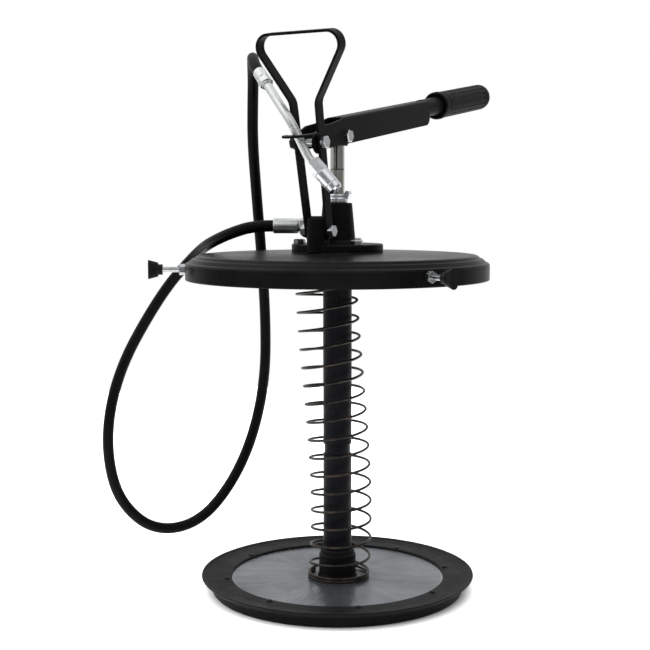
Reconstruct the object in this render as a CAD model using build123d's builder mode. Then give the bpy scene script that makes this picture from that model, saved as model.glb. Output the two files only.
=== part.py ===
from build123d import *
from math import cos, sin, tan, radians
import os

os.makedirs("parts", exist_ok=True)

# ---------------------------------------------------------------------------
# Hand lever bucket pump. Millimetres, +Z up. The origin is on the axis of the
# suction tube at floor level; the lever points along +X, the handle spans Y.
# ---------------------------------------------------------------------------

# lid
SKIRT_R = 172.5
SKIRT_BOTTOM = 360.0
SKIRT_TOP = 379.6
SHEET = 2.0
PLATEAU_R = 159.5
PLATEAU_Z = 387.6
SHOULDER_R = 164.5
CROWN_R = 60.0
CROWN_Z = 391.0
LID_HOLE_R = 17.0
HEM_R = 169.0
HEM_H = 4.0
CLAMP_Z = 371.4
CLAMP_ANGLES = (3.0, 123.0, 243.0)
CLAMP_R = 3.0
CLAMP_AF = 11.0
BACKING_R = 50.0
BACKING_H = 6.0

# pump head
GASKET_R = 51.8
GASKET_H = 1.2
FLANGE_R = 52.0
FLANGE_H = 8.0
HEAD_FOOT_R = 20.5
HEAD_TOP_R = 16.8
HEAD_TOP_Z = 446.5
CHAMBER_R = 12.0
POST_X = -42.0
POST_R = 13.0
POST_TOP = 429.0
POST_HALF_Y = 11.0
BASE_PIN_X = -41.0
BASE_PIN_Z = 415.5
BOLT_CIRCLE_R = 43.0
BOLT_ANGLES = (0.0, 120.0, 240.0)
OUTLET_ANGLE = 120.0
OUTLET_Z = 420.4

# tubes, rod, valves
TUBE_R = 16.4
BORE_R = 12.0
NECK_R = 14.85
NECK_LOW = 160.0
NECK_HIGH = 170.0
SPIGOT_R = 14.4
ROD_R = 8.0
PISTON_Z = 76.0
PISTON_H = 18.0
BALL_R = 8.5
SEAT_R = 6.5
SEAT_Z = 15.0
RUNNING_FIT = 0.05
SEATED = 0.02

# follower plate
DISC_R = 135.0
DISC_Z = 12.5
DISC_H = 2.0
HUB_R = 21.3
HUB_TOP = 47.5
SCREW_CIRCLE_R = 128.6
SCREW_COUNT = 8
SCREW_START = -5.0

# follower spring
SPRING_R = 35.7
SPRING_WIRE = 3.0
SPRING_BOTTOM_XY = (1.8, -3.1)
SPRING_TOP_XY = (-6.5, 11.3)

# carrying handle
STRAP_T = 3.0
STRAP_W = 13.0
HANDLE_LEAN = 11.1
HANDLE_TOP_S = 216.0
WAIST_S = 143.0
LEG_BOTTOM_S = -9.0
PIVOT_S = 98.65

# lever
PIVOT_X = -59.83
PIVOT_Z = 512.06
LEVER_REST = 8.5
ARM = 60.5
CHANNEL_HALF = 12.5
CHANNEL_WALL = 2.75
CHANNEL_TOP = 21.5
CHANNEL_END = 275.0
LEVER_TUBE_R = 11.5
LEVER_TUBE_V = 11.2
TUBE_LAP = 3.0
GRIP_START = 319.0
GRIP_END = 464.0
GRIP_R = 17.0
TUBE_END = 452.0
PIN_R = 4.0
BOLT_AF = 13.0
BOLT_HEAD_H = 5.5
HEAD_CHAMFER = 1.1
NUT_H = 6.4

# hose and nozzle
HOSE_D = 13.2
NOZZLE_R = 4.9


def polar(radius, angle, z=0.0):
    """Point at a plan radius and angle about the tube axis."""
    return Vector(radius * cos(radians(angle)), radius * sin(radians(angle)), z)


def radial(angle, start, z):
    """Plane facing outward along a plan angle, with its origin at a radius."""
    return Plane(origin=polar(start, angle, z), z_dir=polar(1.0, angle), x_dir=(0, 0, 1))


def across(x, y, z):
    """Plane facing +Y at a point."""
    return Plane(origin=(x, y, z), x_dir=(1, 0, 0), z_dir=(0, 1, 0))


# ---------------------------------------------------------------------------
# lid: pressed shell with a stepped rim, a shallow crown and a hemmed skirt
# ---------------------------------------------------------------------------
with BuildPart() as drum_lid:
    with BuildSketch(Plane.XZ):
        with BuildLine():
            Polyline(
                (LID_HOLE_R, CROWN_Z),
                (CROWN_R, CROWN_Z),
                (PLATEAU_R - 2.0, PLATEAU_Z + 0.1),
                (PLATEAU_R, PLATEAU_Z - 0.8),
                (PLATEAU_R + 2.4, PLATEAU_Z - 3.0),
                (SHOULDER_R, PLATEAU_Z - 3.8),
                (SKIRT_R - 4.0, SKIRT_TOP + 0.6),
                (SKIRT_R - 1.2, SKIRT_TOP - 0.6),
                (SKIRT_R, SKIRT_TOP - 2.6),
                (SKIRT_R, SKIRT_BOTTOM + 0.8),
                (SKIRT_R - 0.8, SKIRT_BOTTOM),
                (HEM_R + 0.8, SKIRT_BOTTOM),
                (HEM_R, SKIRT_BOTTOM + 0.8),
                (HEM_R, SKIRT_BOTTOM + HEM_H),
                (SKIRT_R - SHEET, SKIRT_BOTTOM + HEM_H + 1.0),
                (SKIRT_R - SHEET, SKIRT_TOP - 3.0),
                (SKIRT_R - 4.4, SKIRT_TOP - 1.4),
                (SHOULDER_R - 1.0, PLATEAU_Z - 6.0),
                (PLATEAU_R + 1.0, PLATEAU_Z - 5.0),
                (PLATEAU_R - 2.4, PLATEAU_Z - SHEET),
                (CROWN_R, CROWN_Z - SHEET),
                (LID_HOLE_R, CROWN_Z - SHEET),
                close=True,
            )
        make_face()
    revolve(axis=Axis.Z)
    for angle in CLAMP_ANGLES:
        with BuildSketch(radial(angle, SKIRT_R - 12.0, CLAMP_Z)):
            Circle(CLAMP_R + RUNNING_FIT)
        extrude(amount=20.0, mode=Mode.SUBTRACT)
    with BuildSketch(Plane.XY.offset(CROWN_Z - 10.0)):
        with Locations(*[polar(BOLT_CIRCLE_R, a) for a in BOLT_ANGLES]):
            Circle(3.3)
    extrude(amount=20.0, mode=Mode.SUBTRACT)
drum_lid.part.label = "drum_lid"
export_step(drum_lid.part, "parts/drum_lid.step")

# backing plate under the lid, tapped for the flange bolts; the spring seats on it
BACKING_TOP = CROWN_Z - SHEET
SPRING_TOP = BACKING_TOP - BACKING_H
with BuildPart() as lid_backing_plate:
    with BuildSketch(Plane.XY.offset(SPRING_TOP)):
        Circle(BACKING_R)
        Circle(LID_HOLE_R, mode=Mode.SUBTRACT)
        with Locations(*[polar(BOLT_CIRCLE_R, a) for a in BOLT_ANGLES]):
            Circle(3.0 + SEATED, mode=Mode.SUBTRACT)
    extrude(amount=BACKING_H)
lid_backing_plate.part.label = "lid_backing_plate"
export_step(lid_backing_plate.part, "parts/lid_backing_plate.step")

with BuildPart() as flange_gasket:
    with BuildSketch(Plane.XY.offset(CROWN_Z)):
        Circle(GASKET_R)
        Circle(LID_HOLE_R, mode=Mode.SUBTRACT)
        with Locations(*[polar(BOLT_CIRCLE_R, a) for a in BOLT_ANGLES]):
            Circle(3.3, mode=Mode.SUBTRACT)
    extrude(amount=GASKET_H)
flange_gasket.part.label = "flange_gasket"
export_step(flange_gasket.part, "parts/flange_gasket.step")

# ---------------------------------------------------------------------------
# pump head casting: flange, conical body, fulcrum post with rib, outlet boss
# ---------------------------------------------------------------------------
FLANGE_Z = CROWN_Z + GASKET_H
FLANGE_TOP = FLANGE_Z + FLANGE_H
TUBE_TOP = 410.0
GLAND_SEAT = 430.0
BOSS_END = 35.0
with BuildPart() as pump_head:
    with BuildSketch(Plane.XZ):
        with BuildLine():
            Polyline(
                (0, FLANGE_Z),
                (FLANGE_R - 0.8, FLANGE_Z),
                (FLANGE_R, FLANGE_Z + 0.8),
                (FLANGE_R, FLANGE_TOP - 1.2),
                (FLANGE_R - 1.2, FLANGE_TOP),
                (25.0, FLANGE_TOP),
                (22.6, FLANGE_TOP + 1.0),
                (22.0, FLANGE_TOP + 2.6),
                (HEAD_FOOT_R, FLANGE_TOP + 4.4),
                (HEAD_TOP_R, HEAD_TOP_Z - 1.0),
                (HEAD_TOP_R - 1.0, HEAD_TOP_Z),
                (0, HEAD_TOP_Z),
                close=True,
            )
        make_face()
    revolve(axis=Axis.Z)
    # fulcrum post with a domed top
    with BuildSketch(Plane.XY.offset(FLANGE_Z)):
        with Locations((POST_X, 0)):
            Circle(POST_R)
    extrude(amount=POST_TOP - FLANGE_Z)
    with Locations((POST_X, 0, POST_TOP)):
        Cone(POST_R, POST_R - 4.0, 3.0, align=(Align.CENTER, Align.CENTER, Align.MIN))
    # rib between post and body
    with BuildSketch(Plane.XZ):
        with BuildLine():
            Polyline(
                (POST_X, FLANGE_Z + 2.0),
                (-8.0, FLANGE_Z + 2.0),
                (-8.0, 428.0),
                (-19.0, 425.0),
                (POST_X, 423.0),
                close=True,
            )
        make_face()
    extrude(amount=5.0, both=True)
    # outlet boss
    with BuildSketch(radial(OUTLET_ANGLE, 8.0, OUTLET_Z)):
        Circle(9.6)
    extrude(amount=BOSS_END - 8.0)
    # flats of the post
    for side in (-1, 1):
        with Locations((POST_X, side * (POST_HALF_Y + 5.0), 420.0)):
            Box(40.0, 10.0, 36.0, mode=Mode.SUBTRACT)
    # bores: suction tube socket, chamber, gland pocket
    with BuildSketch(Plane.XY.offset(FLANGE_Z - 1.0)):
        Circle(TUBE_R + SEATED)
    extrude(amount=TUBE_TOP - FLANGE_Z + 1.0, mode=Mode.SUBTRACT)
    with BuildSketch(Plane.XY.offset(TUBE_TOP - 1.0)):
        Circle(CHAMBER_R)
    extrude(amount=GLAND_SEAT - 2.0 - TUBE_TOP, mode=Mode.SUBTRACT)
    with BuildSketch(Plane.XY.offset(TUBE_TOP)):
        Circle(ROD_R + 1.0)
    extrude(amount=60.0, mode=Mode.SUBTRACT)
    with BuildSketch(Plane.XY.offset(GLAND_SEAT)):
        Circle(11.0)
    extrude(amount=30.0, mode=Mode.SUBTRACT)
    # outlet passage and the threaded socket of the outlet nut
    with BuildSketch(radial(OUTLET_ANGLE, 4.0, OUTLET_Z)):
        Circle(3.5)
    extrude(amount=40.0, mode=Mode.SUBTRACT)
    with BuildSketch(radial(OUTLET_ANGLE, BOSS_END - 11.0, OUTLET_Z)):
        Circle(6.5 + SEATED)
    extrude(amount=20.0, mode=Mode.SUBTRACT)
    # holes: flange bolts, cross bolt at the post
    with BuildSketch(Plane.XY.offset(FLANGE_Z - 1.0)):
        with Locations(*[polar(BOLT_CIRCLE_R, a) for a in BOLT_ANGLES]):
            Circle(3.3)
    extrude(amount=FLANGE_H + 2.0, mode=Mode.SUBTRACT)
    with BuildSketch(across(BASE_PIN_X, -30.0, BASE_PIN_Z)):
        Circle(PIN_R + SEATED)
    extrude(amount=60.0, mode=Mode.SUBTRACT)
pump_head.part.label = "pump_head"
export_step(pump_head.part, "parts/pump_head.step")

# three flange bolts with chamfered hexagon heads
with BuildPart() as flange_bolts:
    for angle in BOLT_ANGLES:
        with BuildSketch(Plane.XY.offset(FLANGE_TOP)):
            with Locations(polar(BOLT_CIRCLE_R, angle)):
                RegularPolygon(BOLT_AF / 2 - 0.5, 6, major_radius=False, rotation=angle + 12.0)
        extrude(amount=BOLT_HEAD_H)
    chamfer(flange_bolts.faces().group_by(Axis.Z)[-1].edges(), length=HEAD_CHAMFER)
    with BuildSketch(Plane.XY.offset(SPRING_TOP)):
        with Locations(*[polar(BOLT_CIRCLE_R, a) for a in BOLT_ANGLES]):
            Circle(3.0)
    extrude(amount=FLANGE_TOP - SPRING_TOP + 1.0)
flange_bolts.part.label = "flange_bolts"
export_step(flange_bolts.part, "parts/flange_bolts.step")

# gland packing and gland nut with two wing lugs
with BuildPart() as gland_packing:
    with BuildSketch(Plane.XY.offset(GLAND_SEAT)):
        Circle(11.0 - SEATED)
        Circle(ROD_R + RUNNING_FIT, mode=Mode.SUBTRACT)
    extrude(amount=10.0)
gland_packing.part.label = "gland_packing"
export_step(gland_packing.part, "parts/gland_packing.step")

with BuildPart() as gland_nut:
    with BuildSketch(Plane.XZ):
        with BuildLine():
            Polyline(
                (ROD_R + RUNNING_FIT, 440.2),
                (11.0 - SEATED, 440.2),
                (11.0 - SEATED, HEAD_TOP_Z + 0.2),
                (11.8, HEAD_TOP_Z + 0.6),
                (11.8, 451.0),
                (11.0, 452.0),
                (10.2, 452.4),
                (10.2, 455.0),
                (9.4, 456.0),
                (ROD_R + RUNNING_FIT, 456.0),
                close=True,
            )
        make_face()
    revolve(axis=Axis.Z)
    with BuildSketch(Plane.YZ):
        with BuildLine():
            Polyline((9.0, 450.5), (15.4, 451.5), (17.0, 456.5), (15.6, 459.6), (12.4, 460.0), (9.2, 455.5), close=True)
        make_face()
        mirror(about=Plane.YZ)
    extrude(amount=3.0, both=True)
    with BuildSketch(Plane.XY.offset(440.0)):
        Circle(ROD_R + RUNNING_FIT)
    extrude(amount=30.0, mode=Mode.SUBTRACT)
gland_nut.part.label = "gland_nut"
export_step(gland_nut.part, "parts/gland_nut.step")

# ---------------------------------------------------------------------------
# suction tubes, foot valve
# ---------------------------------------------------------------------------
SPIGOT_TOP = 190.0
with BuildPart() as upper_tube:
    with BuildSketch(Plane.XZ):
        with BuildLine():
            Polyline(
                (SPIGOT_R + SEATED, NECK_HIGH),
                (TUBE_R - 0.8, NECK_HIGH),
                (TUBE_R, NECK_HIGH + 0.8),
                (TUBE_R, TUBE_TOP),
                (BORE_R, TUBE_TOP),
                (BORE_R, SPIGOT_TOP + 0.5),
                (SPIGOT_R + SEATED, SPIGOT_TOP + 0.5),
                close=True,
            )
        make_face()
    revolve(axis=Axis.Z)
upper_tube.part.label = "upper_tube"
export_step(upper_tube.part, "parts/upper_tube.step")

FOOT_H = 16.0
FOOT_SPIGOT_R = 14.2
FOOT_TOP = 38.0
with BuildPart() as lower_tube:
    with BuildSketch(Plane.XZ):
        with BuildLine():
            Polyline(
                (FOOT_SPIGOT_R + SEATED, FOOT_H),
                (TUBE_R, FOOT_H),
                (TUBE_R, NECK_LOW - 1.5),
                (NECK_R, NECK_LOW),
                (NECK_R, NECK_HIGH - SEATED),
                (SPIGOT_R, NECK_HIGH - SEATED),
                (SPIGOT_R, SPIGOT_TOP),
                (BORE_R, SPIGOT_TOP),
                (BORE_R, FOOT_TOP + 0.5),
                (FOOT_SPIGOT_R + SEATED, FOOT_TOP + 0.5),
                close=True,
            )
        make_face()
    revolve(axis=Axis.Z)
lower_tube.part.label = "lower_tube"
export_step(lower_tube.part, "parts/lower_tube.step")

# foot valve: closed flat bottom, four side inlets, seat, ball cage with a cross bar
CAGE_R = 10.5
with BuildPart() as foot_valve_body:
    with BuildSketch(Plane.XZ):
        with BuildLine():
            Polyline(
                (0, 0),
                (TUBE_R - 1.0, 0),
                (TUBE_R, 1.0),
                (TUBE_R, FOOT_H),
                (FOOT_SPIGOT_R, FOOT_H),
                (FOOT_SPIGOT_R, FOOT_TOP),
                (CAGE_R, FOOT_TOP),
                (CAGE_R, SEAT_Z + 2.0),
                (SEAT_R, SEAT_Z),
                (SEAT_R, 12.0),
                (9.5, 11.0),
                (9.5, 2.5),
                (0, 2.5),
                close=True,
            )
        make_face()
    revolve(axis=Axis.Z)
    with BuildSketch(Plane.XY.offset(3.0)):
        Rectangle(40.0, 9.0)
        Rectangle(9.0, 40.0)
        Circle(9.0, mode=Mode.SUBTRACT)
    extrude(amount=7.5, mode=Mode.SUBTRACT)
    with BuildSketch(Plane.YZ.offset(-CAGE_R - 2.0)):
        with Locations((0, FOOT_TOP - 2.0)):
            Circle(1.6)
    extrude(amount=2 * CAGE_R + 4.0)
foot_valve_body.part.label = "foot_valve_body"
export_step(foot_valve_body.part, "parts/foot_valve_body.step")

BALL_Z = SEAT_Z + (BALL_R ** 2 - SEAT_R ** 2) ** 0.5 + 0.35
with BuildPart() as foot_ball:
    with Locations((0, 0, BALL_Z)):
        Sphere(BALL_R)
foot_ball.part.label = "foot_ball"
export_step(foot_ball.part, "parts/foot_ball.step")

# ---------------------------------------------------------------------------
# pump rod with its slotted eye, piston and seal
# ---------------------------------------------------------------------------
PIN_Z = PIVOT_Z + ARM * sin(radians(LEVER_REST))
EYE_BOTTOM = PIN_Z - 10.5
ROD_BOTTOM = PISTON_Z + PISTON_H - 8.0
with BuildPart() as piston_rod:
    with BuildSketch(Plane.XY.offset(ROD_BOTTOM)):
        Circle(5.0)
    extrude(amount=8.0)
    with BuildSketch(Plane.XY.offset(ROD_BOTTOM + 8.0)):
        Circle(ROD_R)
    extrude(amount=EYE_BOTTOM - ROD_BOTTOM - 8.0)
piston_rod.part.label = "piston_rod"
export_step(piston_rod.part, "parts/piston_rod.step")

# slotted eye; the slot lets the lever pin travel sideways on its arc
SLOT_BACK = -15.5
SLOT_FRONT = 5.3
SLOT_HALF = 6.2
with BuildPart() as rod_eye:
    with BuildSketch(Plane.XZ):
        with BuildLine():
            Polyline(
                (-8.5, EYE_BOTTOM),
                (8.5, EYE_BOTTOM),
                (9.6, EYE_BOTTOM + 4.0),
                (9.6, PIN_Z + 7.0),
                (7.2, PIN_Z + 9.5),
                (-17.0, PIN_Z + 9.5),
                (-19.6, PIN_Z + 7.0),
                (-19.6, EYE_BOTTOM + 4.0),
                close=True,
            )
        make_face()
        with Locations(((SLOT_BACK + SLOT_FRONT) / 2, PIN_Z)):
            SlotOverall(SLOT_FRONT - SLOT_BACK + 3.0, 2 * SLOT_HALF, mode=Mode.SUBTRACT)
    extrude(amount=8.5, both=True)
rod_eye.part.label = "rod_eye"
export_step(rod_eye.part, "parts/rod_eye.step")

with BuildPart() as piston:
    with BuildSketch(Plane.XZ):
        with BuildLine():
            Polyline(
                (0, PISTON_Z),
                (BORE_R - 1.0, PISTON_Z),
                (BORE_R - RUNNING_FIT, PISTON_Z + 1.0),
                (BORE_R - RUNNING_FIT, PISTON_Z + 6.0),
                (9.6, PISTON_Z + 6.0),
                (9.6, PISTON_Z + 11.0),
                (BORE_R - RUNNING_FIT, PISTON_Z + 11.0),
                (BORE_R - RUNNING_FIT, PISTON_Z + PISTON_H - 1.0),
                (BORE_R - 1.0, PISTON_Z + PISTON_H),
                (5.0 + SEATED, PISTON_Z + PISTON_H),
                (5.0 + SEATED, ROD_BOTTOM),
                (0, ROD_BOTTOM),
                close=True,
            )
        make_face()
    revolve(axis=Axis.Z)
piston.part.label = "piston"
export_step(piston.part, "parts/piston.step")

with BuildPart() as piston_seal:
    with BuildSketch(Plane.XY.offset(PISTON_Z + 6.1)):
        Circle(BORE_R - RUNNING_FIT)
        Circle(9.7, mode=Mode.SUBTRACT)
    extrude(amount=4.8)
piston_seal.part.label = "piston_seal"
export_step(piston_seal.part, "parts/piston_seal.step")

# ---------------------------------------------------------------------------
# follower plate: steel disc, rubber rim ring, screws and nuts, hub, wiper seal
# ---------------------------------------------------------------------------
SCREW_POINTS = [polar(SCREW_CIRCLE_R, SCREW_START + 45.0 * i) for i in range(SCREW_COUNT)]
DISC_TOP = DISC_Z + DISC_H
with BuildPart() as follower_disc:
    with BuildSketch(Plane.XY.offset(DISC_Z)):
        Circle(DISC_R)
        Circle(19.0 + SEATED, mode=Mode.SUBTRACT)
        with Locations(*SCREW_POINTS):
            Circle(2.1, mode=Mode.SUBTRACT)
    extrude(amount=DISC_H)
follower_disc.part.label = "follower_disc"
export_step(follower_disc.part, "parts/follower_disc.step")

RING_TOP = 17.2
RING_LOW = 9.8
with BuildPart() as follower_ring:
    with BuildSketch(Plane.XZ):
        with BuildLine():
            Polyline(
                (122.4, DISC_TOP + SEATED),
                (122.8, 16.2),
                (124.5, RING_TOP),
                (142.0, RING_TOP),
                (151.0, 18.0),
                (157.0, 19.6),
                (157.4, 18.6),
                (156.6, 17.2),
                (150.6, 12.8),
                (146.2, 9.2),
                (145.4, 6.4),
                (145.8, 4.2),
                (145.0, 2.0),
                (143.4, 0.4),
                (142.0, 0.0),
                (138.6, 0.0),
                (137.2, 2.0),
                (136.0, RING_LOW),
                (124.0, RING_LOW),
                (124.0, DISC_Z - SEATED),
                (DISC_R + SEATED, DISC_Z - SEATED),
                (DISC_R + SEATED, DISC_TOP + SEATED),
                close=True,
            )
        make_face()
    revolve(axis=Axis.Z)
    with BuildSketch(Plane.XY.offset(5.0)):
        with Locations(*SCREW_POINTS):
            Circle(2.1)
    extrude(amount=20.0, mode=Mode.SUBTRACT)
follower_ring.part.label = "follower_ring"
export_step(follower_ring.part, "parts/follower_ring.step")

# low flat screw heads, and nuts below the ring
with BuildPart() as follower_screws:
    for at in SCREW_POINTS:
        with BuildSketch(Plane.XY.offset(6.4)):
            with Locations(at):
                Circle(2.0)
        extrude(amount=RING_TOP - 6.4 + 1.0)
        with Locations((at.X, at.Y, RING_TOP)):
            Cone(3.4, 2.6, 1.2, align=(Align.CENTER, Align.CENTER, Align.MIN))
follower_screws.part.label = "follower_screws"
export_step(follower_screws.part, "parts/follower_screws.step")

with BuildPart() as follower_nuts:
    with BuildSketch(Plane.XY.offset(RING_LOW - 3.2)):
        with Locations(*SCREW_POINTS):
            RegularPolygon(3.5, 6, major_radius=False)
            Circle(2.0 + SEATED, mode=Mode.SUBTRACT)
    extrude(amount=3.2)
follower_nuts.part.label = "follower_nuts"
export_step(follower_nuts.part, "parts/follower_nuts.step")

SLIDE_R = TUBE_R + RUNNING_FIT
with BuildPart() as follower_hub:
    with BuildSketch(Plane.XZ):
        with BuildLine():
            Polyline(
                (SLIDE_R, DISC_Z - 3.5),
                (19.0, DISC_Z - 3.5),
                (19.0, DISC_TOP),
                (23.0, DISC_TOP),
                (21.9, DISC_TOP + 2.0),
                (HUB_R, DISC_TOP + 4.0),
                (HUB_R, HUB_TOP - 7.0),
                (HUB_R - 1.6, HUB_TOP - 5.4),
                (HUB_R - 1.6, HUB_TOP - 1.6),
                (HUB_R - 3.0, HUB_TOP),
                (18.2, HUB_TOP),
                (18.2, HUB_TOP - 6.0),
                (SLIDE_R, HUB_TOP - 6.0),
                close=True,
            )
        make_face()
    revolve(axis=Axis.Z)
follower_hub.part.label = "follower_hub"
export_step(follower_hub.part, "parts/follower_hub.step")

with BuildPart() as hub_seal:
    with BuildSketch(Plane.XY.offset(HUB_TOP - 6.0)):
        Circle(18.2 - SEATED)
        Circle(SLIDE_R, mode=Mode.SUBTRACT)
    extrude(amount=5.4)
hub_seal.part.label = "hub_seal"
export_step(hub_seal.part, "parts/hub_seal.step")

# follower spring as the slightly leaning sleeve that its coils fill
SPRING_LEN = SPRING_TOP - DISC_TOP
LEAN = Vector(
    SPRING_TOP_XY[0] - SPRING_BOTTOM_XY[0],
    SPRING_TOP_XY[1] - SPRING_BOTTOM_XY[1],
    SPRING_LEN,
)
with BuildPart() as follower_spring:
    with BuildSketch(Plane.XY.offset(DISC_TOP)):
        with Locations(SPRING_BOTTOM_XY):
            Circle(SPRING_R)
            Circle(SPRING_R - SPRING_WIRE, mode=Mode.SUBTRACT)
    extrude(amount=LEAN.length, dir=LEAN.normalized())
follower_spring.part.label = "follower_spring"
export_step(follower_spring.part, "parts/follower_spring.step")

# ---------------------------------------------------------------------------
# drum clamps: welded hex nuts, screws and tapered knobs
# ---------------------------------------------------------------------------
NUT_OUT = SKIRT_R + 6.5
with BuildPart() as clamp_nuts:
    for angle in CLAMP_ANGLES:
        with BuildSketch(radial(angle, SKIRT_R, CLAMP_Z)):
            RegularPolygon(CLAMP_AF / 2, 6, major_radius=False)
            Circle(CLAMP_R + RUNNING_FIT, mode=Mode.SUBTRACT)
        extrude(amount=NUT_OUT - SKIRT_R)
clamp_nuts.part.label = "clamp_nuts"
export_step(clamp_nuts.part, "parts/clamp_nuts.step")

SCREW_TIP = 165.0
KNOB_IN = 198.0
KNOB_OUT = 214.0
for number, angle in enumerate(CLAMP_ANGLES, start=1):
    with BuildPart() as clamp_screw:
        with BuildSketch(radial(angle, SCREW_TIP, CLAMP_Z)):
            Circle(CLAMP_R)
        extrude(amount=KNOB_IN - SCREW_TIP + 6.0)
    clamp_screw.part.label = "clamp_screw_" + str(number)
    export_step(clamp_screw.part, "parts/clamp_screw_" + str(number) + ".step")

    # knob: slim neck, tapered T-shaped head
    with BuildPart() as clamp_knob:
        with BuildSketch(radial(angle, KNOB_IN, CLAMP_Z)):
            Circle(6.0)
        extrude(amount=7.0)
        with BuildSketch(radial(angle, KNOB_IN + 5.0, CLAMP_Z)):
            SlotOverall(16.0, 9.0)
        with BuildSketch(radial(angle, KNOB_OUT, CLAMP_Z)):
            SlotOverall(22.0, 10.0)
        loft()
        with BuildSketch(radial(angle, KNOB_IN - 1.0, CLAMP_Z)):
            Circle(CLAMP_R + SEATED)
        extrude(amount=7.0 + SEATED, mode=Mode.SUBTRACT)
    clamp_knob.part.label = "clamp_knob_" + str(number)
    export_step(clamp_knob.part, "parts/clamp_knob_" + str(number) + ".step")

# ---------------------------------------------------------------------------
# carrying handle: one bent flat strap, leaning back, bolted through the post
# ---------------------------------------------------------------------------
LEAN_SIN = sin(radians(HANDLE_LEAN))
LEAN_COS = cos(radians(HANDLE_LEAN))
handle_plane = Plane(
    origin=(BASE_PIN_X, 0, BASE_PIN_Z),
    x_dir=(0, 1, 0),
    z_dir=(LEAN_COS, 0, LEAN_SIN),
)
LEG_Y_BOTTOM = 12.8
WAIST_Y = 16.0
CORNER_Y = 62.5
with BuildPart() as carry_handle:
    with BuildSketch(handle_plane):
        with BuildLine() as strap_line:
            FilletPolyline(
                (LEG_Y_BOTTOM, LEG_BOTTOM_S),
                (WAIST_Y, WAIST_S),
                (CORNER_Y, HANDLE_TOP_S),
                (-CORNER_Y, HANDLE_TOP_S),
                (-WAIST_Y, WAIST_S),
                (-LEG_Y_BOTTOM, LEG_BOTTOM_S),
                radius=[18.0, 14.0, 14.0, 18.0],
            )
        trace(line_width=STRAP_T)
    extrude(amount=STRAP_W / 2, both=True)
    ends = carry_handle.edges().filter_by(Axis.Y, tolerance=3.0).group_by(Axis.Z)[0]
    fillet(ends, radius=5.0)
    with BuildSketch(across(BASE_PIN_X, -30.0, BASE_PIN_Z)):
        Circle(PIN_R + SEATED)
    extrude(amount=60.0, mode=Mode.SUBTRACT)
    with BuildSketch(across(PIVOT_X, -30.0, PIVOT_Z)):
        Circle(PIN_R + SEATED)
    extrude(amount=60.0, mode=Mode.SUBTRACT)
carry_handle.part.label = "carry_handle"
export_step(carry_handle.part, "parts/carry_handle.step")


def leg_face(s):
    """Outer face of a handle leg at a distance s along the handle plane."""
    slope = (WAIST_Y - LEG_Y_BOTTOM) / (WAIST_S - LEG_BOTTOM_S)
    return LEG_Y_BOTTOM + slope * (s - LEG_BOTTOM_S) + STRAP_T / 2


# cross bolts: one through the post and both legs, one through the lever tail
BASE_FACE = leg_face(6.5) + 0.02
PIVOT_FACE = leg_face(PIVOT_S + 6.5) + 0.02
for name, x, z, face, turn in (
    ("base", BASE_PIN_X, BASE_PIN_Z, BASE_FACE, 4.0),
    ("pivot", PIVOT_X, PIVOT_Z, PIVOT_FACE, -6.0),
):
    with BuildPart() as cross_bolt:
        with BuildSketch(across(x, -face - BOLT_HEAD_H, z)):
            RegularPolygon(BOLT_AF / 2, 6, major_radius=False, rotation=turn)
        extrude(amount=BOLT_HEAD_H)
        chamfer(cross_bolt.faces().sort_by(Axis.Y)[0].edges(), length=HEAD_CHAMFER)
        with BuildSketch(across(x, -face - 0.5, z)):
            Circle(PIN_R)
        extrude(amount=2 * face + 8.0)
    cross_bolt.part.label = name + "_bolt"
    export_step(cross_bolt.part, "parts/" + name + "_bolt.step")

    with BuildPart() as cross_nut:
        with BuildSketch(across(x, face, z)):
            RegularPolygon(BOLT_AF / 2, 6, major_radius=False, rotation=turn + 17.0)
        extrude(amount=NUT_H)
        chamfer(cross_nut.faces().sort_by(Axis.Y)[-1].edges(), length=HEAD_CHAMFER)
        with BuildSketch(across(x, face - 1.0, z)):
            Circle(PIN_R + SEATED)
        extrude(amount=12.0, mode=Mode.SUBTRACT)
    cross_nut.part.label = name + "_nut"
    export_step(cross_nut.part, "parts/" + name + "_nut.step")

# nozzle holder: a curved hook of plate on the edge of the near leg
HOLDER_X = -68.5
HOLDER_Z = 520.0
holder_plane = Plane(
    origin=(HOLDER_X, 0, HOLDER_Z),
    x_dir=(LEAN_COS, 0, LEAN_SIN),
    z_dir=(-LEAN_SIN, 0, LEAN_COS),
)
with BuildPart() as nozzle_holder:
    with BuildSketch(holder_plane):
        with BuildLine():
            Polyline(
                (0, -17.0),
                (0, -13.4),
                (-8.0, -13.4),
                (-12.4, -8.4),
                (-17.0, -3.4),
                (-18.2, 4.0),
                (-17.2, 10.5),
                (-15.4, 14.6),
                (-18.0, 17.2),
                (-23.4, 16.0),
                (-26.6, 9.0),
                (-26.6, 1.0),
                (-23.0, -7.4),
                (-15.0, -17.0),
                close=True,
            )
        make_face()
        fillet(vertices().group_by(Axis.X)[0], radius=3.0)
    extrude(amount=2.5)
nozzle_holder.part.label = "nozzle_holder"
export_step(nozzle_holder.part, "parts/nozzle_holder.step")

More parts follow.
